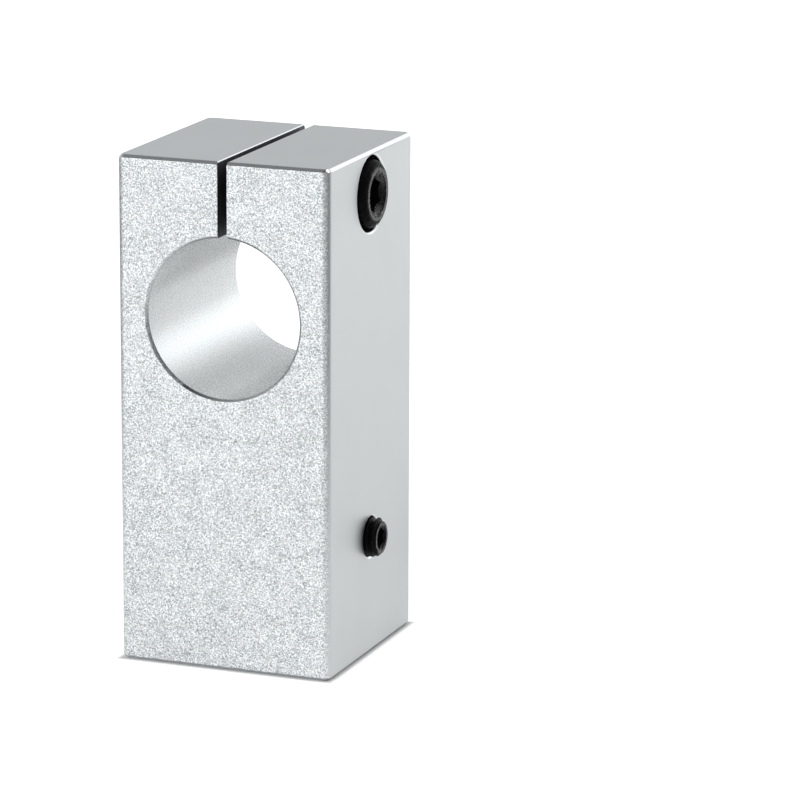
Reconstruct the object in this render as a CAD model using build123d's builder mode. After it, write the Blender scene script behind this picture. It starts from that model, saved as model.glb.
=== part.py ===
"""Shaft cross clamp: a one-piece aluminium block that joins two 20 mm shafts at right angles.

The cross shaft lies in the split eye near the top and is gripped by a cap screw that draws the slit together.
The post shaft stands in the blind bore underneath and is held by a set screw.

Frame, in millimetres: the origin is the centre of the bottom face, on the axis of the post bore. +Z points up
that bore, +Y runs along the cross bore, and both screws enter from the +X side.
"""

from build123d import *

import math
import os

# Shafts
cross_shaft_diameter = 20.0
post_shaft_diameter = 20.0
shaft_clearance = 0.02  # radial, in both bores

# Block
side_wall = 4.0  # beside both shafts
web_thickness = 4.5  # between the floor of the post bore and the cross shaft
screw_wall = 1.35  # between the cross shaft and the hole of the clamp screw
top_land = 0.05  # flat left between the counterbore and the chamfer of the top edge
post_bore_depth = 30.0
post_floor_radius = 0.6
slit_width = 1.2
corner_radius = 1.0
edge_chamfer = 0.4
rim_chamfer = 0.35  # at the mouths of both bores
hole_chamfer = 0.2  # at the mouths of the screw holes
slit_chamfer = 0.15  # along the slit's two top edges

# Screws, both with a coarse M5 thread
thread_diameter = 5.0
thread_clearance = 0.05  # radial, between a thread's crests and its hole
thread_end_chamfer = 0.5
clearance_hole_diameter = 5.5
drill_point_angle = 118.0

# Clamp screw: a socket head cap screw
head_diameter = 8.5
head_height = 5.0
head_edge_radius = 1.0
under_head_radius = 0.2
counterbore_diameter = 9.5
counterbore_depth = 4.45
head_gap = 0.25  # the screw is backed off its seat by this much
far_end_inset = 3.55  # from the block's far side to the end of the seated thread
head_socket_flats = 4.0
head_socket_depth = 2.5
head_socket_chamfer = 0.44  # beyond the hexagon's corners, at the mouth
head_socket_turn = 30.0  # degrees, from +Y to a corner of the hexagon
knurl_pitch = 0.6
knurl_depth = 0.12
knurl_start = 0.7  # plain band beside the bearing face
knurl_end_gap = 0.1  # plain band beside the rounded edge

# Set screw: hexagon socket and cup point
set_screw_height = 15.0
set_screw_proud = 1.45
set_screw_gap = 0.43  # from the cup point to the wall of the post bore
set_socket_flats = 2.5
set_socket_depth = 2.4
set_socket_chamfer = 0.15
set_socket_turn = 25.0
cup_diameter = 2.5
cup_angle = 118.0

# Worked out from the sizes above
cross_bore_radius = cross_shaft_diameter / 2 + shaft_clearance
post_bore_radius = post_shaft_diameter / 2 + shaft_clearance
body_width = max(cross_shaft_diameter, post_shaft_diameter) + 2 * side_wall
body_depth = post_shaft_diameter + 2 * side_wall
cross_bore_height = post_bore_depth + web_thickness + cross_shaft_diameter / 2
clamp_screw_height = cross_bore_height + cross_shaft_diameter / 2 + screw_wall + clearance_hole_diameter / 2
body_height = clamp_screw_height + counterbore_diameter / 2 + hole_chamfer + top_land + edge_chamfer
tapped_radius = thread_diameter / 2 + thread_clearance
seat_x = body_width / 2 - counterbore_depth
clamp_screw_length = seat_x + body_width / 2 - far_end_inset
set_screw_tip_x = post_bore_radius + set_screw_gap
set_screw_length = body_width / 2 + set_screw_proud - set_screw_tip_x


def facing_out(x, height):
    """A plane across a screw's axis at this X, with +Z of the plane pointing out of the screw side."""
    return Plane(origin=(x, 0, height), x_dir=(0, 1, 0), z_dir=(1, 0, 0))


def along_axis(x, height):
    """A plane through a screw's axis: its X axis points out of the screw side, and its Y axis is the radius."""
    return Plane(origin=(x, 0, height), x_dir=(1, 0, 0), z_dir=(0, -1, 0))


def circles_at(part, axis, position):
    """The circular edges that lie in the plane across an axis at this position."""
    rounding = 0.001
    circles = part.edges().filter_by(GeomType.CIRCLE)
    return circles.filter_by_position(axis, position - rounding, position + rounding)


# The block: bar stock with rounded corners, bored and drilled, and split last
with BuildPart() as clamp_block:
    with BuildSketch(Plane.XY):
        RectangleRounded(body_width, body_depth, corner_radius)
    extrude(amount=body_height)
    chamfer(clamp_block.faces().filter_by(Axis.Z).edges(), length=edge_chamfer)

    # Cross bore, right through from front to back
    with Locations(Plane(origin=(0, -body_depth / 2, cross_bore_height), z_dir=(0, -1, 0))):
        Hole(radius=cross_bore_radius, depth=body_depth)
    for face_y in (-body_depth / 2, body_depth / 2):
        chamfer(circles_at(clamp_block, Axis.Y, face_y), length=rim_chamfer)

    # Post bore, blind, with the small radius that the cutter leaves round its floor
    with Locations(Plane(origin=(0, 0, 0), z_dir=(0, 0, -1))):
        Hole(radius=post_bore_radius, depth=post_bore_depth)
    fillet(circles_at(clamp_block, Axis.Z, post_bore_depth), radius=post_floor_radius)
    post_mouth = clamp_block.faces().sort_by(Axis.Z)[0].inner_wires().edges()
    chamfer(post_mouth, length=rim_chamfer)

    # Clamp screw: counterbore and clearance hole in the near jaw, tapped hole through the far one
    with Locations(facing_out(body_width / 2, clamp_screw_height)):
        CounterBoreHole(
            radius=clearance_hole_diameter / 2,
            counter_bore_radius=counterbore_diameter / 2,
            counter_bore_depth=counterbore_depth,
            depth=body_width / 2,
        )
    with Locations(facing_out(0, clamp_screw_height)):
        Hole(radius=tapped_radius, depth=body_width / 2)

    # Set screw: tapped hole into the side of the post bore
    with Locations(facing_out(body_width / 2, set_screw_height)):
        Hole(radius=tapped_radius, depth=body_width / 2)
    for face_x in (-body_width / 2, body_width / 2):
        chamfer(circles_at(clamp_block, Axis.X, face_x), length=hole_chamfer)

    # Slit, from the cross bore out through the top
    slit_height = body_height - cross_bore_height
    with BuildSketch(Plane.XZ):
        with Locations((0, cross_bore_height + slit_height / 2)):
            Rectangle(slit_width, slit_height)
    extrude(amount=body_depth / 2, both=True, mode=Mode.SUBTRACT)
    top_edges = clamp_block.faces().sort_by(Axis.Z)[-2:].edges().filter_by(Axis.Y)
    slit_edges = top_edges.filter_by_position(Axis.X, -slit_width, slit_width)
    chamfer(slit_edges, length=slit_chamfer)


def hexagon_socket(x, height, flats, depth, mouth_chamfer, turn):
    """The space of a socket in the end face at this X: drilled, broached to a hexagon, its mouth broken."""
    drill_point = flats / 2 / math.tan(math.radians(drill_point_angle / 2))
    mouth_radius = flats / math.sqrt(3) + mouth_chamfer
    with BuildPart() as socket:
        with BuildSketch(facing_out(x, height)):
            RegularPolygon(radius=flats / 2, side_count=6, major_radius=False, rotation=turn)
        extrude(amount=-depth)
        with BuildSketch(along_axis(x, height)):
            with BuildLine():
                Polyline((-depth - drill_point, 0), (-depth, flats / 2), (-depth, 0), close=True)
            make_face()
            with BuildLine():
                Polyline((0, 0), (-mouth_radius, 0), (0, mouth_radius), close=True)
            make_face()
        revolve(axis=Axis((x, 0, height), (1, 0, 0)))
    return socket.part


# The clamp screw, backed off its seat by the head gap
head_x = seat_x + head_gap
thread_radius = thread_diameter / 2
head_radius = head_diameter / 2
head_socket = hexagon_socket(
    head_x + head_height,
    clamp_screw_height,
    head_socket_flats,
    head_socket_depth,
    head_socket_chamfer,
    head_socket_turn,
)
with BuildPart() as clamp_screw:
    with BuildSketch(along_axis(head_x, clamp_screw_height)):
        with BuildLine():
            Polyline(
                (-clamp_screw_length, 0),
                (-clamp_screw_length, thread_radius - thread_end_chamfer),
                (thread_end_chamfer - clamp_screw_length, thread_radius),
                (-under_head_radius, thread_radius),
            )
            RadiusArc((-under_head_radius, thread_radius), (0, thread_radius + under_head_radius), under_head_radius)
            Polyline(
                (0, thread_radius + under_head_radius),
                (0, head_radius),
                (head_height, head_radius),
                (head_height, 0),
                (-clamp_screw_length, 0),
            )
        make_face()
    revolve(axis=Axis((head_x, 0, clamp_screw_height), (1, 0, 0)))
    fillet(circles_at(clamp_screw, Axis.X, head_x + head_height), radius=head_edge_radius)

    # Straight knurl round the head's side
    knurl_count = round(math.pi * head_diameter / knurl_pitch)
    with BuildSketch(facing_out(head_x + knurl_start, clamp_screw_height)):
        with PolarLocations(head_radius, knurl_count):
            RegularPolygon(radius=knurl_depth, side_count=4)
    extrude(amount=head_height - head_edge_radius - knurl_end_gap - knurl_start, mode=Mode.SUBTRACT)

    add(head_socket, mode=Mode.SUBTRACT)

# The set screw, with its cup point just short of the post bore
set_screw_end_x = set_screw_tip_x + set_screw_length
set_socket = hexagon_socket(
    set_screw_end_x,
    set_screw_height,
    set_socket_flats,
    set_socket_depth,
    set_socket_chamfer,
    set_socket_turn,
)
with BuildPart() as set_screw:
    cup_depth = cup_diameter / 2 / math.tan(math.radians(cup_angle / 2))
    point_length = thread_radius - cup_diameter / 2
    with BuildSketch(along_axis(set_screw_tip_x, set_screw_height)):
        with BuildLine():
            Polyline(
                (cup_depth, 0),
                (0, cup_diameter / 2),
                (point_length, thread_radius),
                (set_screw_length - thread_end_chamfer, thread_radius),
                (set_screw_length, thread_radius - thread_end_chamfer),
                (set_screw_length, 0),
                close=True,
            )
        make_face()
    revolve(axis=Axis((set_screw_tip_x, 0, set_screw_height), (1, 0, 0)))
    add(set_socket, mode=Mode.SUBTRACT)

clamp_block.part.label = "clamp_block"
clamp_screw.part.label = "clamp_screw"
set_screw.part.label = "set_screw"

os.makedirs("parts", exist_ok=True)
export_step(clamp_block.part, "parts/clamp_block.step")
export_step(clamp_screw.part, "parts/clamp_screw.step")
export_step(set_screw.part, "parts/set_screw.step")

print(f"block {body_width:.2f} x {body_depth:.2f} x {body_height:.2f}, cross bore at {cross_bore_height:.2f}")
print(f"clamp screw at {clamp_screw_height:.2f}, length {clamp_screw_length:.2f}, {knurl_count} knurl grooves")
print(f"set screw at {set_screw_height:.2f}, length {set_screw_length:.2f}")
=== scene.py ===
# %% [markdown]
# # A shaft cross clamp, dressed in Blender
#
# A shaft cross clamp joins two 20 mm shafts at right angles. One lies in the split eye near the top, and a cap
# screw across the slit closes the eye on it. The other comes up from below and is held by a set screw. The drawing
# of the clamp, with its exact sizes, is already done and is loaded here as a fixed frame. This lesson gives it its
# looks: a finish for every surface, softened edges, real threads and a knurled screw head.

import math

import bmesh
import bpy
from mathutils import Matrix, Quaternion, Vector


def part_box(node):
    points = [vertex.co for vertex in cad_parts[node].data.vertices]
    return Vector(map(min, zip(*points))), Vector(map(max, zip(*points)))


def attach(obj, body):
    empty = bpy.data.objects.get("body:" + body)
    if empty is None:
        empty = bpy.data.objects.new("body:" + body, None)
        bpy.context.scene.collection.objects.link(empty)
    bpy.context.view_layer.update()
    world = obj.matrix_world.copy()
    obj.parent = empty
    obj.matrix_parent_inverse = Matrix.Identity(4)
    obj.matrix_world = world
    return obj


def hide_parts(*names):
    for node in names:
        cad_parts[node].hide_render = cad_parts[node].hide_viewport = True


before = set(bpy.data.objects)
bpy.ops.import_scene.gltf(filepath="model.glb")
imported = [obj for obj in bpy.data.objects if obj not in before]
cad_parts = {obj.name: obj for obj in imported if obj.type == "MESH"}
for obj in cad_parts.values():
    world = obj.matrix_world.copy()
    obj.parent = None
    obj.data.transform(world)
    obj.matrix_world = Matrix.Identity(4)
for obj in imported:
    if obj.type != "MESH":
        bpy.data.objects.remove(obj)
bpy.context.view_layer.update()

# %% [markdown]
# ## Where things are
#
# Blender measures in metres, and a drawing in millimetres. We could type every place again, but a box round each
# drawn part already says where the block and the screws are, so we read the places from there. Only what a box
# can't tell, such as the sizes inside the block, is written down.

# %% Places of the block and the screws
mm = 0.001


def box_in_mm(part):
    """The lowest and the highest corner of a drawn part, in millimetres."""
    return [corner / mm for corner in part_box(part)]


block_low, block_high = box_in_mm("clamp_block")
clamp_screw_low, clamp_screw_high = box_in_mm("clamp_screw")
set_screw_low, set_screw_high = box_in_mm("set_screw")

clamp_screw_height = (clamp_screw_low.z + clamp_screw_high.z) / 2
set_screw_height = (set_screw_low.z + set_screw_high.z) / 2
bore_height = 44.5
bore_radius = 10.02
post_bore_depth = 30.0
slit_width = 1.2
thread_radius = 2.5
thread_hole_radius = 2.55
print(f"clamp screw at {clamp_screw_height:.2f} mm and set screw at {set_screw_height:.2f} mm above the bottom")

# %% [markdown]
# ## The camera
#
# The clamp is seen from a little to the right of its front and from a little above. The camera stands more than
# half a metre away with a long lens, which is how small goods are photographed: nearby edges stay almost parallel.
# We turn the camera with a quaternion that makes its back point from the clamp to where it stands. The last small
# turn is a roll about its own line of sight.

# %% Camera
camera_turn = math.radians(21.046)
camera_rise = math.radians(13.726)
camera_roll = math.radians(0.252)
camera_distance = 557.7 * mm
camera_aim = Vector((17.8, 0, 32.92)) * mm
lens_in_pixels = 4508.0
picture_in_pixels = 800
sensor_width = 36.0


def towards(turn, rise):
    """The direction that is turned from the front towards the right, and raised above the floor."""
    return Vector((math.sin(turn) * math.cos(rise), -math.cos(turn) * math.cos(rise), math.sin(rise)))


camera = bpy.data.objects.new("camera", bpy.data.cameras.new("camera"))
camera.data.sensor_width = sensor_width
camera.data.lens = lens_in_pixels / picture_in_pixels * sensor_width
camera.data.clip_start, camera.data.clip_end = 0.05, 20
camera.rotation_mode = "QUATERNION"
camera.location = camera_aim + towards(camera_turn, camera_rise) * camera_distance
camera.rotation_quaternion = towards(camera_turn, camera_rise).to_track_quat("Z", "Y") @ Quaternion(
    (0, 0, 1), camera_roll
)
bpy.context.scene.collection.objects.link(camera)
bpy.context.scene.camera = camera
bpy.context.scene.view_settings.view_transform = "Standard"
print(f"the lens is {camera.data.lens:.1f} mm")

# %% [markdown]
# ## Building a finish from nodes
#
# Every finish below starts from one Principled shader and adds patterns to it. Two small helpers keep that
# readable. The first adds a node and sets its sockets, where a socket that is given another node's output is joined
# to it. The second gives the coordinates of a point of the piece in millimetres, so that the scale of a pattern is
# simply the number of its features on a millimetre.


# %% Helpers for nodes
def add_node(tree, kind, sockets=None, **settings):
    """Adds a node of this kind, with these settings, and fills or joins the sockets named."""
    node = tree.nodes.new(kind)
    for name, value in settings.items():
        setattr(node, name, value)
    for name, value in (sockets or {}).items():
        if isinstance(value, bpy.types.NodeSocket):
            tree.links.new(value, node.inputs[name])
        else:
            node.inputs[name].default_value = value
    return node


def start_finish(name, colour, roughness, metallic=1.0):
    """A new material, its Principled shader, and the place on the piece in millimetres."""
    finish = bpy.data.materials.new(name)
    finish.use_nodes = True
    tree = finish.node_tree
    shader = tree.nodes["Principled BSDF"]
    shader.inputs["Base Color"].default_value = (*colour, 1)
    shader.inputs["Roughness"].default_value = roughness
    shader.inputs["Metallic"].default_value = metallic
    place = add_node(tree, "ShaderNodeTexCoord")
    scaled = add_node(tree, "ShaderNodeMapping", {"Vector": place.outputs["Object"], "Scale": (1 / mm,) * 3})
    return finish, tree, shader, scaled.outputs["Vector"]


def noise(tree, place, scale, detail=2.0, roughness=0.5, stretch=(1, 1, 1)):
    """A cloud of soft spots, so many of them on a millimetre. Stretch above 1 squeezes them along that axis."""
    squeezed = add_node(tree, "ShaderNodeMapping", {"Vector": place, "Scale": stretch})
    sockets = {"Vector": squeezed.outputs["Vector"], "Scale": scale, "Detail": detail, "Roughness": roughness}
    return add_node(tree, "ShaderNodeTexNoise", sockets).outputs["Fac"]


def grains(tree, place, scale):
    """Small cells, so many of them on a millimetre: a value of its own for each, and the way to its middle."""
    cells = add_node(tree, "ShaderNodeTexVoronoi", {"Vector": place, "Scale": scale})
    own_value = add_node(tree, "ShaderNodeSeparateXYZ", {"Vector": cells.outputs["Color"]})
    return own_value.outputs["X"], cells.outputs["Distance"]


def spread(tree, value, low, high, to_low, to_high):
    """Maps a value between two limits to a value between two others, and holds it there."""
    sockets = {"Value": value, "From Min": low, "From Max": high, "To Min": to_low, "To Max": to_high}
    return add_node(tree, "ShaderNodeMapRange", sockets).outputs["Result"]


def calculate(tree, operation, first, second=0.0):
    """One sum with two values."""
    node = add_node(tree, "ShaderNodeMath", operation=operation)
    for socket, value in zip(node.inputs, (first, second)):
        if isinstance(value, bpy.types.NodeSocket):
            tree.links.new(value, socket)
        else:
            socket.default_value = value
    return node.outputs[0]


def blend_colours(tree, factor, first, second):
    """The first colour where the factor is 0, and the second where it is 1."""
    node = add_node(tree, "ShaderNodeMix", data_type="RGBA")
    for socket, value in zip((node.inputs[0], node.inputs[6], node.inputs[7]), (factor, first, second)):
        if isinstance(value, bpy.types.NodeSocket):
            tree.links.new(value, socket)
        else:
            socket.default_value = value if isinstance(value, float) else (*value, 1)
    return node.outputs[2]


def raise_grain(tree, shader, height, depth):
    """Bump: the height pattern stands so many millimetres out of the surface."""
    sockets = {"Height": height, "Distance": depth * mm, "Strength": 1.0}
    bump = add_node(tree, "ShaderNodeBump", sockets)
    tree.links.new(bump.outputs["Normal"], shader.inputs["Normal"])


# %% [markdown]
# ## The anodised outside
#
# The front and the back of the block are blasted with fine beads before anodising. That leaves a sparkling, frosty
# skin of tiny dimples, each of which sends the light its own way. Every dimple is one cell of a cell pattern and has
# a shade of its own. The other four sides are only satin smooth. One material can do both: a mask measured across
# the depth of the block is 1 on the two blasted faces and fades to 0 over the first half millimetre behind them, so
# that the frost runs out, dimple by dimple, over the rounded corners as it does on the real block. The edges cut
# along the top and the bottom are smoother than both, and get a plain finish of their own.

# %% Anodised finish
anodised, tree, shader, place = start_finish("anodised_aluminium", (0.6, 0.61, 0.62), 0.42)
cut_edge = start_finish("anodised_cut_edge", (0.62, 0.64, 0.65), 0.26)[0]

dimple_shade, dimple_depth = grains(tree, place, 8.5)
across = add_node(tree, "ShaderNodeSeparateXYZ", {"Vector": place})
depth_from_middle = calculate(tree, "ABSOLUTE", across.outputs["Y"])
ragged_depth = calculate(tree, "ADD", depth_from_middle, spread(tree, dimple_shade, 0.0, 1.0, -0.12, 0.12))
blasted = spread(tree, ragged_depth, block_high.y - 0.4, block_high.y - 0.1, 0.0, 1.0)

patches = noise(tree, place, 0.35, detail=3.0)
frost = calculate(tree, "ADD", dimple_shade, spread(tree, patches, 0.3, 0.7, -0.06, 0.06))
frost_colour = blend_colours(tree, frost, (0.27, 0.29, 0.3), (0.955, 0.977, 0.987))

cloud = noise(tree, place, 0.12, detail=3.0)
drawn_lines = noise(tree, place, 1.6, detail=2.0, stretch=(4, 4, 0.12))
satin_shade = spread(tree, calculate(tree, "ADD", cloud, drawn_lines), 0.7, 1.3, 0.0, 1.0)
satin_colour = blend_colours(tree, satin_shade, (0.505, 0.526, 0.53), (0.532, 0.551, 0.554))

tree.links.new(blend_colours(tree, blasted, satin_colour, frost_colour), shader.inputs["Base Color"])
satin_roughness = spread(tree, drawn_lines, 0.3, 0.7, 0.38, 0.44)
frost_roughness = spread(tree, dimple_shade, 0.0, 1.0, 0.5, 0.4)
roughness_mix = add_node(tree, "ShaderNodeMix", {"Factor": blasted})
tree.links.new(satin_roughness, roughness_mix.inputs[2])
tree.links.new(frost_roughness, roughness_mix.inputs[3])
tree.links.new(roughness_mix.outputs[0], shader.inputs["Roughness"])
raise_grain(tree, shader, calculate(tree, "MULTIPLY", dimple_depth, blasted), 0.02)
print("made", anodised.name, "and", cut_edge.name)

# %% [markdown]
# ## The reamed bores
#
# A reamer leaves the smoothest wall of all. Light from one side lies along it as a broad soft band with a slightly
# grainy edge. The clear skin of the anodising scatters a part of the light, which is why the finish is only half
# metallic and the wall stays pale near its mouth.

# %% Reamed finish
reamed, tree, shader, place = start_finish("reamed_bore", (0.75, 0.76, 0.76), 0.27, metallic=0.5)
grain_shade, grain_depth = grains(tree, place, 7.0)
tree.links.new(
    blend_colours(tree, grain_shade, (0.7, 0.725, 0.725), (0.73, 0.75, 0.75)), shader.inputs["Base Color"]
)
tree.links.new(spread(tree, grain_shade, 0.0, 1.0, 0.255, 0.285), shader.inputs["Roughness"])
raise_grain(tree, shader, grain_depth, 0.0004)
print("made", reamed.name)

# %% [markdown]
# ## Drilled holes and the sawn slit
# The screw holes are drilled and the slit is cut with a thin saw. Both are rougher and duller than the outside, and
# little light gets into them. The slit's colour is painted shade: its walls are painted nearly black for the deep,
# narrow gap, and the saw marks vary that a little.

# %% Drilled finish, and the sawn slit in painted shade
drilled, tree, shader, place = start_finish("drilled_hole", (0.68, 0.69, 0.7), 0.3)
tool_marks = noise(tree, place, 1.5, detail=3.0, stretch=(6, 0.5, 0.5))
tree.links.new(
    blend_colours(tree, spread(tree, tool_marks, 0.3, 0.7, 0.0, 1.0), (0.6, 0.61, 0.62), (0.78, 0.79, 0.8)),
    shader.inputs["Base Color"],
)
raise_grain(tree, shader, tool_marks, 0.01)

# The slit's walls are painted nearly black: painted shade for the deep, narrow gap.
sawn_in_painted_shade, tree, shader, place = start_finish("slit_in_painted_shade", (0.1, 0.1, 0.105), 0.6)
saw_marks = noise(tree, place, 1.2, detail=3.0, stretch=(1, 5, 0.4))
tree.links.new(
    blend_colours(tree, spread(tree, saw_marks, 0.3, 0.7, 0.0, 1.0), (0.06, 0.06, 0.063), (0.16, 0.16, 0.165)),
    shader.inputs["Base Color"],
)
raise_grain(tree, shader, saw_marks, 0.02)
print("made", drilled.name, "and", sawn_in_painted_shade.name)

# %% [markdown]
# ## Black oxide
#
# The screws are blackened and lightly oiled. The skin is nearly black, and what we see of it is gloss: thin bright
# lines where an edge catches a lamp. The colour therefore hardly varies, and the roughness does. The end faces, which
# hands and keys rub, shine more than the threads and the knurl, so the finish comes in two sheens. The duller one is
# also painted shade: its gloss is cut so low that the threads, the knurl, the rounded edge of the head and the
# socket's walls stay dark whatever they mirror. The end faces were turned, so rings run round each screw's axis.
# Their height is a noise pattern of one coordinate, the distance from the axis, broken up a little by a second one so
# that the rings show as short arcs.


# %% Black oxide finish
def black_oxide_finish(name, least_gloss, most_gloss):
    """Nearly black, with this much gloss between the turned rings and on them."""
    finish, tree, shader, place = start_finish(name, (0.004, 0.004, 0.0045), 0.3, metallic=0.0)
    smear = noise(tree, place, 1.2, detail=4.0, roughness=0.6)
    shade = spread(tree, smear, 0.35, 0.7, 0.0, 1.0)
    tree.links.new(
        blend_colours(tree, shade, (0.005, 0.005, 0.0055), (0.011, 0.0108, 0.0105)), shader.inputs["Base Color"]
    )
    tree.links.new(spread(tree, smear, 0.3, 0.7, 0.16, 0.34), shader.inputs["Roughness"])

    parts = add_node(tree, "ShaderNodeSeparateXYZ", {"Vector": place})
    middle_height = (clamp_screw_height + set_screw_height) / 2
    on_clamp_screw = calculate(tree, "GREATER_THAN", parts.outputs["Z"], middle_height)
    axis_height = spread(tree, on_clamp_screw, 0.0, 1.0, set_screw_height, clamp_screw_height)
    above_axis = calculate(tree, "SUBTRACT", parts.outputs["Z"], axis_height)
    squares = [calculate(tree, "MULTIPLY", side, side) for side in (parts.outputs["Y"], above_axis)]
    from_axis = calculate(tree, "SQRT", calculate(tree, "ADD", *squares))
    ring_place = add_node(tree, "ShaderNodeCombineXYZ", {"X": from_axis, "Y": smear, "Z": 0.0})
    turned_rings = noise(tree, ring_place.outputs["Vector"], 2.8, detail=2.0, roughness=0.7, stretch=(1, 1.8, 1))
    gloss = spread(tree, turned_rings, 0.38, 0.62, least_gloss, most_gloss)
    tree.links.new(gloss, shader.inputs["Specular IOR Level"])
    raise_grain(tree, shader, turned_rings, 0.08)
    return finish


oiled_oxide = black_oxide_finish("black_oxide_oiled", 0.02, 0.4)
# The dull copy paints shade: its gloss is cut to almost nothing, so threads, knurl and rounding read dark.
dull_oxide_painted_shade = black_oxide_finish("black_oxide_dull_painted_shade", 0.006, 0.03)
print("made", oiled_oxide.name, "and", dull_oxide_painted_shade.name)


def finish_screw_faces(mesh, flat_radius):
    """Gives the flat end face and the socket's broken mouth the oiled finish, and the rest the dull one, whose low
    gloss paints shade.
    """
    mouth_depth = 0.7
    outer_end = max(point.co.x for point in mesh.verts)
    for face in mesh.faces:
        spot = face.calc_center_median()
        from_axis = math.hypot(spot.y, spot.z)
        on_end = outer_end - spot.x < mouth_depth and face.normal.x > 0.5 and from_axis < flat_radius
        face.material_index = 0 if on_end else 1


# %% [markdown]
# ## Working on a mesh in millimetres
#
# A bmesh is Blender's workbench for a mesh. We model there in millimetres, because merging and cutting need sensible
# small distances, and scale to metres at the very end. A finished piece gets smooth shading, with the edges that are
# sharper than a limit kept crisp, and normals that are worked out afresh so that every face looks outwards.


# %% Helpers for pieces
def finish_piece(mesh, name, body, finishes, crisp_above=32):
    """Turns the workbench mesh into a piece that moves with a body of the frame."""
    bmesh.ops.recalc_face_normals(mesh, faces=mesh.faces)
    for face in mesh.faces:
        face.smooth = True
    for edge in mesh.edges:
        edge.smooth = edge.calc_face_angle(0) < math.radians(crisp_above)
    bmesh.ops.scale(mesh, vec=(mm, mm, mm), verts=mesh.verts)
    data = bpy.data.meshes.new(name)
    mesh.to_mesh(data)
    mesh.free()
    for finish in finishes:
        data.materials.append(finish)
    piece = bpy.data.objects.new(name, data)
    bpy.context.scene.collection.objects.link(piece)
    shading = piece.modifiers.new("shading", "WEIGHTED_NORMAL")
    shading.keep_sharp = True
    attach(piece, body)
    print(name, "has", len(data.vertices), "points and", len(data.polygons), "faces")
    return piece


# %% [markdown]
# ## The block
#
# The drawn block has the right shape but the edges of a drawing: perfectly sharp. On a real block every edge is
# broken a little by the blasting, and that hair line of light is what makes it look like metal. We copy the drawn
# mesh, merge its loose triangles, dissolve the lines inside flat faces, and bevel what is still sharp by a few
# hundredths of a millimetre. Then each face gets its finish by where its middle lies. The middle of a large flat
# face can fall inside the outline of a hole, so we also ask how deep under the outside it is. The slit and the bores
# are asked for before the screw holes, because the round of a screw hole runs on through their walls.

# %% Copy and soften the block
softening = 0.05
sharp_angle = math.radians(28)
flat_angle = math.radians(0.05)
weld_distance = 0.001
block = bmesh.new()
block.from_mesh(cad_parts["clamp_block"].data)
bmesh.ops.scale(block, vec=(1 / mm,) * 3, verts=block.verts)
bmesh.ops.remove_doubles(block, verts=block.verts, dist=weld_distance)
bmesh.ops.dissolve_limit(block, angle_limit=flat_angle, verts=block.verts, edges=block.edges)
sharp_edges = [edge for edge in block.edges if edge.calc_face_angle(0) > sharp_angle]
bmesh.ops.bevel(
    block,
    geom=sharp_edges,
    offset=softening,
    offset_type="OFFSET",
    segments=2,
    profile=0.5,
    affect="EDGES",
    clamp_overlap=False,
    material=-1,
)
print("softened", len(sharp_edges), "edges of the block")

# %% Give the block's faces their finishes
rim_chamfer = 0.35
counterbore_radius = 4.75
hole_chamfer = 0.2
margin = 0.02
skin = 0.005
cross_bore_start = rim_chamfer - 0.03
post_bore_end = post_bore_depth + 0.1
clamp_hole_reach = counterbore_radius + hole_chamfer + margin
set_hole_reach = thread_hole_radius + hole_chamfer + margin
slit_end = block_high.z - 0.16
half_way_slope, slope_margin = math.sqrt(0.5), 0.1
block_finishes = {"anodised": anodised, "bores": reamed, "cut edge": cut_edge, "drilled": drilled, "sawn_in_painted_shade": sawn_in_painted_shade}


def is_inside_round(across, up, radius):
    """Whether a point lies within a round hole, from its two distances to the hole's axis."""
    return math.hypot(across, up) < radius


def finish_for(face):
    """The name of the finish that a face of the block has, by where its middle lies."""
    spot = face.calc_center_median()
    under_front = block_high.y - abs(spot.y)
    under_side = block_high.x - abs(spot.x)
    in_cross_bore = is_inside_round(spot.x, spot.z - bore_height, bore_radius + margin)
    in_post_bore = is_inside_round(spot.x, spot.y, bore_radius + rim_chamfer)
    in_clamp_hole = is_inside_round(spot.y, spot.z - clamp_screw_height, clamp_hole_reach)
    in_set_hole = is_inside_round(spot.y, spot.z - set_screw_height, set_hole_reach)
    in_slit = abs(spot.x) < slit_width / 2 + margin and bore_height < spot.z < slit_end
    # The slit's walls take the finish that has painted shade in its colour.
    if in_slit and under_front > skin:
        return "sawn_in_painted_shade"
    if in_cross_bore and under_front > cross_bore_start:
        return "bores"
    if in_post_bore and skin < spot.z < post_bore_end:
        return "bores"
    if under_side > skin and (in_clamp_hole or in_set_hole):
        return "drilled"
    slopes_half_way = abs(abs(face.normal.z) - half_way_slope) < slope_margin
    return "cut edge" if slopes_half_way else "anodised"


for face in block.faces:
    face.material_index = list(block_finishes).index(finish_for(face))

for index, name in enumerate(block_finishes):
    area = sum(face.calc_area() for face in block.faces if face.material_index == index)
    print(name, "covers", round(area), "square millimetres")

clamp_body = finish_piece(block, "clamp_body", "block", block_finishes.values())
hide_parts("clamp_block")

# %% [markdown]
# ## Turning on a lathe
#
# Screws are turned. So is the screw here: an outline of points, each a position along the X axis and a radius, is
# spun round that axis. A hexagon socket isn't round, but it can still be drawn on from the round rim of the end
# face: the rim is extruded again and again, and each time every new point is set to the position and radius that
# belong to its angle. Its radius is that of a hexagon instead of a circle, and the drill point closes it.


# %% Helpers for turned shapes
drill_angle = math.radians(118)
core_to_flats = 0.985
socket_floor_step = 0.02
merge_distance = 0.0005


def angle_of(point):
    """The angle of a point round the X axis."""
    return math.atan2(point.co.z, point.co.y)


def radius_of(point):
    """The distance of a point from the X axis."""
    return math.hypot(point.co.y, point.co.z)


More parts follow.
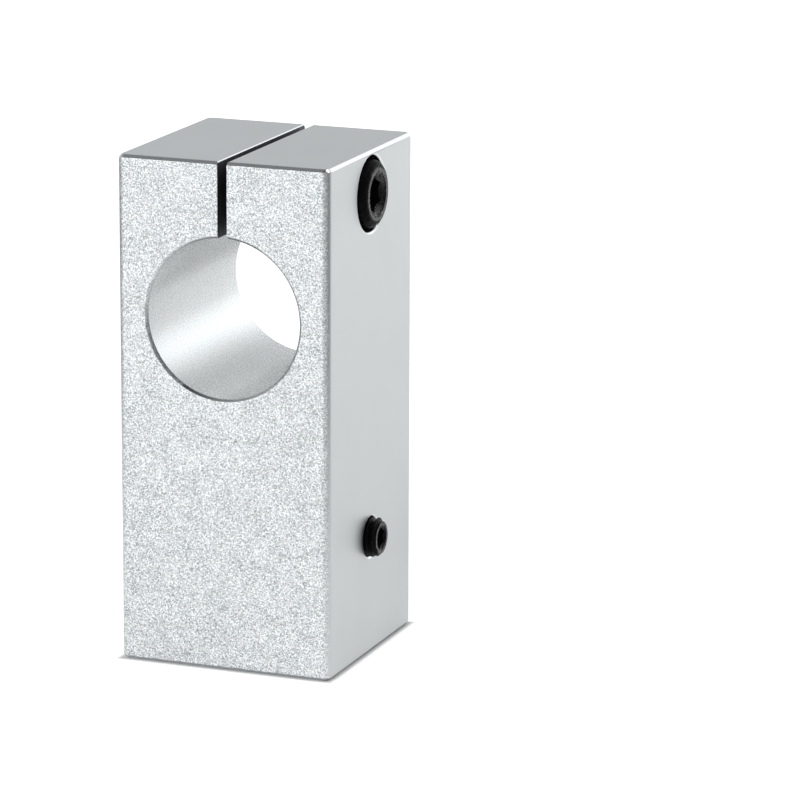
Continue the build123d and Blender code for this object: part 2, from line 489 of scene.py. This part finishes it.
def spin_outline(mesh, outline, turn, steps, step_forward=0.0):
    """Spins an outline of (position, radius) pairs round X, moving it forward at each step."""
    points = [mesh.verts.new((position, radius, 0)) for position, radius in outline]
    lines = [mesh.edges.new(pair) for pair in zip(points, points[1:])]
    bmesh.ops.spin(
        mesh, geom=points + lines, cent=(0, 0, 0), axis=(1, 0, 0), dvec=(step_forward, 0, 0), angle=turn, steps=steps
    )


def open_rim(mesh, position):
    """The open edges that lie across the axis at this position."""
    return [
        edge
        for edge in mesh.edges
        if edge.is_boundary and all(abs(point.co.x - position) < merge_distance for point in edge.verts)
    ]


def draw_on(mesh, rim, place):
    """Extrudes a rim and sets each new point to the (position, radius) that place gives for its angle."""
    grown = bmesh.ops.extrude_edge_only(mesh, edges=rim)["geom"]
    for point in grown:
        if isinstance(point, bmesh.types.BMVert):
            angle = angle_of(point)
            position, radius = place(angle)
            point.co = (position, radius * math.cos(angle), radius * math.sin(angle))
    return [edge for edge in grown if isinstance(edge, bmesh.types.BMEdge)]


def draw_socket(mesh, rim, face_x, flats, depth, turn, mouth_break):
    """A hexagon socket from the open rim of an end face down to its drill point."""
    corner_radius = flats / math.sqrt(3)
    mouth_radius = corner_radius + mouth_break
    core_radius = flats / 2 * core_to_flats
    drill_point = core_radius / math.tan(drill_angle / 2)

    def hexagon(angle):
        within_side = (angle - turn) % math.radians(60) - math.radians(30)
        return flats / 2 / math.cos(within_side)

    rim = draw_on(mesh, rim, lambda angle: (face_x, mouth_radius))
    rim = draw_on(mesh, rim, lambda angle: (face_x - (mouth_radius - hexagon(angle)), hexagon(angle)))
    rim = draw_on(mesh, rim, lambda angle: (face_x - depth, hexagon(angle)))
    rim = draw_on(mesh, rim, lambda angle: (face_x - depth - socket_floor_step, core_radius))
    draw_on(mesh, rim, lambda angle: (face_x - depth - drill_point, 0.0))


# %% [markdown]
# ## The thread
#
# A screw thread is one small outline, root to crest to root, that goes round the screw and moves on by one pitch in
# every turn. The spin operator does exactly that when it is given a step forward. One turn is enough: copies of it,
# each moved on by a pitch, meet end to end, and merging the doubles makes one surface of them. The ends are made as
# on the lathe: the thread is longer than the screw, everything outside a cone is pressed in to it, which gives the
# chamfer, and a cut across the axis takes off the rest.

# %% Thread
pitch = 0.8
root_radius = 2.009
thread_steps = 72
turns_before, turns_after = 2, 1
thread_outline = [
    (0.0, 2.009),
    (0.055, 2.022),
    (0.1, 2.067),
    (0.18, 2.206),
    (0.26, 2.344),
    (0.335, 2.474),
    (0.37, 2.5),
    (0.43, 2.5),
    (0.465, 2.474),
    (0.54, 2.344),
    (0.62, 2.206),
    (0.7, 2.067),
    (0.745, 2.022),
    (0.8, 2.009),
]


def cut_across(mesh, position, side):
    """Cuts the mesh across the axis and takes away what lies beyond, towards +X or -X."""
    everything = list(mesh.verts) + list(mesh.edges) + list(mesh.faces)
    bmesh.ops.bisect_plane(
        mesh, geom=everything, dist=0.0001, plane_co=(position, 0, 0), plane_no=(side, 0, 0), clear_outer=True
    )


def wind_turns(mesh, outline, start, end):
    """Winds a thread outline round X, from well before the start to well past the end."""
    first = start - turns_before * pitch
    moved_outline = [(first + position, radius) for position, radius in outline]
    spin_outline(mesh, moved_outline, 2 * math.pi, thread_steps, pitch / thread_steps)
    one_turn = list(mesh.verts) + list(mesh.edges) + list(mesh.faces)
    for turn in range(1, turns_before + math.ceil((end - start) / pitch) + turns_after):
        copied = bmesh.ops.duplicate(mesh, geom=one_turn)["geom"]
        points = [item for item in copied if isinstance(item, bmesh.types.BMVert)]
        bmesh.ops.translate(mesh, vec=(pitch * turn, 0, 0), verts=points)
    bmesh.ops.remove_doubles(mesh, verts=mesh.verts, dist=merge_distance)


def wind_thread(mesh, start, end, phase, largest_radius):
    """An outside thread from start to end. largest_radius gives the limit of the radius at a position."""
    wind_turns(mesh, [(position + phase, radius) for position, radius in thread_outline], start, end)
    for point in mesh.verts:
        limit = largest_radius(point.co.x)
        if radius_of(point) > limit:
            shrink = limit / radius_of(point)
            point.co.y *= shrink
            point.co.z *= shrink
    cut_across(mesh, start, -1)
    cut_across(mesh, end, 1)


# %% [markdown]
# ## The clamp screw
#
# A socket head cap screw, M5 and 20 mm long. Its head has a fine straight knurl, 45 grooves round its side, for
# turning it in with the fingers. We model one forty-fifth of the head: a narrow wedge with a groove pressed into its
# middle. Spun with duplicates it makes the whole head. The head and the thread are then joined by bridging the two
# round rims at the neck.

# %% Clamp screw: the head
head_height = 5.0
head_radius = 4.25
knurl_grooves = 45
knurl_depth = 0.12
knurl_start, knurl_end = 0.7, 3.9
groove_ramp = 0.12
neck_start, neck_radius = -0.5, 2.0
head_socket_flats, head_socket_depth, head_socket_break = 4.0, 2.5, 0.44
head_socket_turn = math.radians(30)

head_x = clamp_screw_high.x - head_height
edge_radius = 1.0
rounded_edge = [
    (
        head_height - edge_radius + edge_radius * math.sin(math.radians(step)),
        head_radius - edge_radius + edge_radius * math.cos(math.radians(step)),
    )
    for step in range(0, 91, 9)
]
head_outline = [
    (neck_start, neck_radius),
    (-0.38, 2.05),
    (-0.28, 2.4),
    (-0.2, 2.5),
    (-0.15, 2.507),
    (-0.1, 2.527),
    (-0.06, 2.56),
    (-0.027, 2.6),
    (-0.007, 2.65),
    (0.0, 2.7),
    (0.0, head_radius - 0.12),
    (0.035, head_radius - 0.035),
    (0.12, head_radius),
    (knurl_start - 0.05, head_radius),
    (knurl_start, head_radius),
    (knurl_start + groove_ramp, head_radius),
    (knurl_end - groove_ramp, head_radius),
    *rounded_edge,
    (head_height, head_radius - edge_radius - 0.05),
    (head_height, 2.9),
]

screw = bmesh.new()
wedge = 2 * math.pi / knurl_grooves
steps_in_wedge = 4
spin_outline(screw, [(head_x + position, radius) for position, radius in head_outline], wedge, steps_in_wedge)
groove_start = head_x + knurl_start + groove_ramp / 2
groove_end = head_x + knurl_end - groove_ramp / 2
for point in screw.verts:
    on_middle_line = abs(angle_of(point) - wedge / 2) < 0.001
    if on_middle_line and groove_start < point.co.x < groove_end:
        shrink = (head_radius - knurl_depth) / head_radius
        point.co.y *= shrink
        point.co.z *= shrink
bmesh.ops.spin(
    screw,
    geom=list(screw.verts) + list(screw.edges) + list(screw.faces),
    cent=(0, 0, 0),
    axis=(1, 0, 0),
    angle=wedge * (knurl_grooves - 1),
    steps=knurl_grooves - 1,
    use_duplicate=True,
)
bmesh.ops.remove_doubles(screw, verts=screw.verts, dist=merge_distance)
face_x = head_x + head_height
draw_socket(
    screw,
    open_rim(screw, face_x),
    face_x,
    head_socket_flats,
    head_socket_depth,
    head_socket_turn,
    head_socket_break,
)
print("the head has", len(screw.faces), "faces")

# %% Clamp screw: the thread and the neck
tip_x = clamp_screw_low.x
tip_chamfer = 0.5
tip_flat_radius = 1.2
clamp_thread_phase = 0.3
neck_length = 0.8
thread_end_x = head_x - neck_length
runout = 0.6

shank = bmesh.new()
wind_thread(
    shank,
    tip_x,
    thread_end_x,
    clamp_thread_phase,
    lambda x: min(
        thread_radius - tip_chamfer + max(x - tip_x, 0),
        neck_radius + max(thread_end_x - x, 0) * (thread_radius - root_radius) / runout,
    ),
)
tip_rim = open_rim(shank, tip_x)
tip_rim = draw_on(shank, tip_rim, lambda angle: (tip_x, tip_flat_radius))
draw_on(shank, tip_rim, lambda angle: (tip_x, 0.0))

shank_data = bpy.data.meshes.new("shank")
shank.to_mesh(shank_data)
shank.free()
screw.from_mesh(shank_data)
bpy.data.meshes.remove(shank_data)
neck_rims = open_rim(screw, thread_end_x) + open_rim(screw, head_x + neck_start)
bmesh.ops.bridge_loops(screw, edges=neck_rims)
bmesh.ops.remove_doubles(screw, verts=screw.verts, dist=merge_distance)
print("the screw has", sum(edge.is_boundary for edge in screw.edges), "open edges")

bmesh.ops.recalc_face_normals(screw, faces=screw.faces)
finish_screw_faces(screw, flat_radius=head_radius - edge_radius + 0.1)
bmesh.ops.translate(screw, vec=(0, 0, clamp_screw_height), verts=screw.verts)
cap_screw = finish_piece(screw, "cap_screw_m5", "cap_screw", [oiled_oxide, dull_oxide_painted_shade])
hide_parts("clamp_screw")

# %% [markdown]
# ## The set screw
#
# A set screw is all thread: a socket in its outer end, and a cup point at the inner one whose thin ring bites into
# the shaft. It is one spun thread between two cones, with the cup and the socket drawn on from its two rims.

# %% Set screw
cup_radius = 1.25
cup_depth = cup_radius / math.tan(drill_angle / 2)
end_chamfer = 0.5
set_thread_phase = 0.62
set_socket_flats, set_socket_depth, set_socket_break = 2.5, 2.4, 0.15
set_socket_turn = math.radians(25)
point_x, end_x = set_screw_low.x, set_screw_high.x

grub = bmesh.new()
wind_thread(
    grub,
    point_x,
    end_x,
    set_thread_phase,
    lambda x: min(cup_radius + max(x - point_x, 0), thread_radius - end_chamfer + max(end_x - x, 0)),
)
draw_on(grub, open_rim(grub, point_x), lambda angle: (point_x + cup_depth, 0.0))
draw_socket(
    grub,
    open_rim(grub, end_x),
    end_x,
    set_socket_flats,
    set_socket_depth,
    set_socket_turn,
    set_socket_break,
)
bmesh.ops.remove_doubles(grub, verts=grub.verts, dist=merge_distance)
print("the set screw has", sum(edge.is_boundary for edge in grub.edges), "open edges")

bmesh.ops.recalc_face_normals(grub, faces=grub.faces)
finish_screw_faces(grub, flat_radius=thread_radius - end_chamfer + 0.02)
bmesh.ops.translate(grub, vec=(0, 0, set_screw_height), verts=grub.verts)
cup_point_screw = finish_piece(grub, "set_screw_m5", "grub_screw", [oiled_oxide, dull_oxide_painted_shade])
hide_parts("set_screw")

# %% [markdown]
# ## The thread inside the far jaw
#
# The clamp screw's thread is cut right through the far jaw, so it can be seen in the mouth of the hole on the left
# side. The same outline turned inside out gives an inside thread. It is only modelled where the screw never comes,
# because a screw that slides without turning would pass through the ridges.

# %% Far jaw thread
mouth_x = block_low.x + hole_chamfer
deep_x = -11.0
thread_slack = 0.03
inner_taper = 2

jaw = bmesh.new()
wind_turns(jaw, [(position, radius + thread_slack) for position, radius in thread_outline], mouth_x, deep_x)
for point in jaw.verts:
    from_mouth, from_deep_end = max(point.co.x - mouth_x, 0), max(deep_x - point.co.x, 0)
    limit = thread_hole_radius - min(from_mouth, from_deep_end * inner_taper)
    if radius_of(point) < limit:
        grow = limit / radius_of(point)
        point.co.y *= grow
        point.co.z *= grow
cut_across(jaw, mouth_x, -1)
cut_across(jaw, deep_x, 1)
bmesh.ops.bridge_loops(jaw, edges=open_rim(jaw, mouth_x) + open_rim(jaw, deep_x))
print("the jaw thread has", sum(edge.is_boundary for edge in jaw.edges), "open edges")

bmesh.ops.translate(jaw, vec=(0, 0, clamp_screw_height), verts=jaw.verts)
finish_piece(jaw, "far_jaw_thread", "block", [drilled])

# %% [markdown]
# ## The floor
#
# The clamp stands on a pale floor. Its paint takes the light and the shadow. A little light of its own, only for the
# camera and for mirrored rays, lifts it to white where nothing shades it, so that metal and picture agree on it. That
# lift is weaker near the clamp and grows out to 0.6 m, which paints a broad soft shade round the clamp into what the
# metal mirrors. The lift ends at the foot of the block, which paints the thin dark line on which a heavy thing seems
# to stand.


# %% Floor
def lay_sheet(name, width, height, finish):
    """A flat sheet round the origin, which belongs to the studio and not to the clamp."""
    sheet_mesh = bmesh.new()
    bmesh.ops.create_grid(sheet_mesh, x_segments=1, y_segments=1, size=0.5)
    bmesh.ops.scale(sheet_mesh, vec=(width, height, 1), verts=sheet_mesh.verts)
    data = bpy.data.meshes.new(name)
    sheet_mesh.to_mesh(data)
    sheet_mesh.free()
    data.materials.append(finish)
    sheet = bpy.data.objects.new(name, data)
    bpy.context.scene.collection.objects.link(sheet)
    return sheet


floor_finish = bpy.data.materials.new("pale_floor")
floor_finish.use_nodes = True
tree = floor_finish.node_tree
tree.nodes.clear()
path = add_node(tree, "ShaderNodeLightPath")
seen = calculate(tree, "MAXIMUM", path.outputs["Is Camera Ray"], path.outputs["Is Glossy Ray"])
seen = calculate(tree, "MAXIMUM", seen, path.outputs["Is Transmission Ray"])
paint = add_node(tree, "ShaderNodeBsdfDiffuse", {"Color": (0.82, 0.82, 0.82, 1)})
place = add_node(tree, "ShaderNodeTexCoord").outputs["Object"]
distance = add_node(tree, "ShaderNodeVectorMath", {0: place}, operation="LENGTH").outputs["Value"]
parts = add_node(tree, "ShaderNodeSeparateXYZ", {"Vector": place})
sideways = [calculate(tree, "ABSOLUTE", parts.outputs[axis]) for axis in "XY"]
from_foot = calculate(tree, "SUBTRACT", calculate(tree, "MAXIMUM", *sideways), block_high.x * mm)
# Painted shade: the lift is weaker near the clamp, and it stops at the foot, where it paints a thin dark line.
lift_dimmed_near_clamp = spread(tree, distance, 0.2, 0.6, 0.6, 0.85)
lift_cut_for_painted_foot_line = spread(tree, from_foot, 0.0, 0.6 * mm, 0.0, 1.0)
lift_strength = calculate(tree, "MULTIPLY", seen, calculate(tree, "MULTIPLY", lift_dimmed_near_clamp, lift_cut_for_painted_foot_line))
lift = add_node(tree, "ShaderNodeEmission", {"Strength": lift_strength})
both = add_node(tree, "ShaderNodeAddShader")
tree.links.new(paint.outputs[0], both.inputs[0])
tree.links.new(lift.outputs[0], both.inputs[1])
surface = add_node(tree, "ShaderNodeOutputMaterial")
tree.links.new(both.outputs[0], surface.inputs["Surface"])

floor_width = 6.0
under_block = 0.02 * mm
floor = lay_sheet("floor", floor_width, floor_width, floor_finish)
floor.location.z = -under_block
print("the floor is", round(floor.dimensions.x, 1), "m wide")

# %% [markdown]
# ## The light
#
# Metal shows what is round it, so each light is placed where a surface of the clamp mirrors it. The sky is pale near
# the horizon and dim overhead, which keeps the upper front edge and the lower rim of the eye dark. A glow low behind
# on the right draws the bright band along the bore and the bright line on the upper right edge. Two soft boxes, one
# in front and one above, light the floor and put small glints on the blacked screws. The sky in front on the right is
# dark, as a room behind the camera is, and that darkens the lower rim further. Cards do the rest as painted
# reflections: each is seen only in mirrored rays, so it darkens what the metal mirrors and lights nothing. One stands
# for the camera, one on the right darkens the left rim of the eye, one on the left the far corner. Two paler ones
# behind, of which one lies on the floor, paint the wall of the eye darker above and below the bright band. The camera
# itself sees none.

# %% Sky
world = bpy.data.worlds.new("studio")
bpy.context.scene.world = world
world.use_nodes = True
tree = world.node_tree
tree.nodes.clear()
direction = add_node(tree, "ShaderNodeTexCoord").outputs["Generated"]
height = add_node(tree, "ShaderNodeSeparateXYZ", {"Vector": direction})
pale_sky = spread(tree, height.outputs["Z"], 0.3, 0.88, 1.0, 0.26)

dark_direction = (0.577, -0.513, 0.635)
into_dark = add_node(tree, "ShaderNodeVectorMath", {0: direction, 1: dark_direction}, operation="DOT_PRODUCT")
sky_light = calculate(tree, "MULTIPLY", pale_sky, spread(tree, into_dark.outputs["Value"], 0.45, 0.85, 1.0, 0.2))

glow_direction = (0.354, 0.906, 0.231)
glow_sharpness, glow_brightness = 29.0, 1.65
closeness = add_node(tree, "ShaderNodeVectorMath", {0: direction, 1: glow_direction}, operation="DOT_PRODUCT")
away = calculate(tree, "SUBTRACT", closeness.outputs["Value"], 1.0)
falling = calculate(tree, "MULTIPLY", away, glow_sharpness)
glow = calculate(tree, "MULTIPLY", calculate(tree, "EXPONENT", falling), glow_brightness)

total_light = calculate(tree, "ADD", sky_light, glow)
sky = add_node(tree, "ShaderNodeBackground", {"Color": (0.97, 0.985, 1.0, 1), "Strength": total_light})
surface = add_node(tree, "ShaderNodeOutputWorld")
tree.links.new(sky.outputs[0], surface.inputs["Surface"])
print("the glow stands", round(math.degrees(math.asin(glow_direction[2])), 1), "degrees above the horizon")


# %% Soft boxes
lamps_aim = Vector((0, 0, 0.035))


def soft_box(name, turn, rise, distance, width, height, brightness):
    """A rectangular lamp that faces the clamp from this direction. Brightness 1 looks white."""
    lamp = bpy.data.lights.new(name, "AREA")
    lamp.shape = "RECTANGLE"
    lamp.size, lamp.size_y = width, height
    lamp.energy = brightness * math.pi * width * height
    box = bpy.data.objects.new(name, lamp)
    direction = towards(math.radians(turn), math.radians(rise))
    box.rotation_mode = "QUATERNION"
    box.location = lamps_aim + direction * distance
    box.rotation_quaternion = direction.to_track_quat("Z", "Y")
    box.visible_camera = False
    bpy.context.scene.collection.objects.link(box)
    print(name, "gives", round(lamp.energy, 1), "W")


soft_box("front_left", turn=-25, rise=32, distance=1.4, width=0.9, height=0.7, brightness=4.0)
soft_box("above_right", turn=120, rise=60, distance=1.4, width=0.7, height=0.7, brightness=3.0)


# %% Grey cards for painted reflections
off_floor = 1 * mm


def stand_card(name, turn, distance, width, height, grey):
    """A card that stands on the floor in this direction and faces the clamp: a painted reflection, seen only in
    mirrored rays.
    """
    finish = bpy.data.materials.new(name)
    finish.use_nodes = True
    shader = finish.node_tree.nodes["Principled BSDF"]
    shader.inputs["Base Color"].default_value = (grey, grey, grey, 1)
    shader.inputs["Roughness"].default_value = 1.0
    card = lay_sheet(name, width, height, finish)
    outwards = towards(math.radians(turn), 0)
    card.rotation_mode = "QUATERNION"
    card.rotation_quaternion = (-outwards).to_track_quat("Z", "Y")
    card.location = outwards * distance + Vector((0, 0, height / 2 + off_floor))
    card.visible_camera = card.visible_shadow = card.visible_diffuse = False
    return card


stand_card("camera_card", turn=22, distance=0.13, width=0.045, height=0.09, grey=0.08)
stand_card("right_card", turn=72, distance=0.12, width=0.13, height=0.09, grey=0.24)
stand_card("left_card", turn=-85, distance=0.12, width=0.12, height=0.09, grey=0.45)
stand_card("far_left_card", turn=201, distance=0.13, width=0.08, height=0.07, grey=0.55)

# The back card lies flat on the floor behind the block: a painted shadow, seen only in mirrored rays, which the wall
# of the eye mirrors.
back_shadow_card = stand_card("back_shadow_card", turn=180, distance=0.105, width=0.12, height=0.13, grey=0.85)
back_shadow_card.rotation_quaternion = (1, 0, 0, 0)
back_shadow_card.location = (-0.038, 0.105, off_floor)
print("the back card lies", round(back_shadow_card.location.y / mm), "mm behind the middle of the clamp")
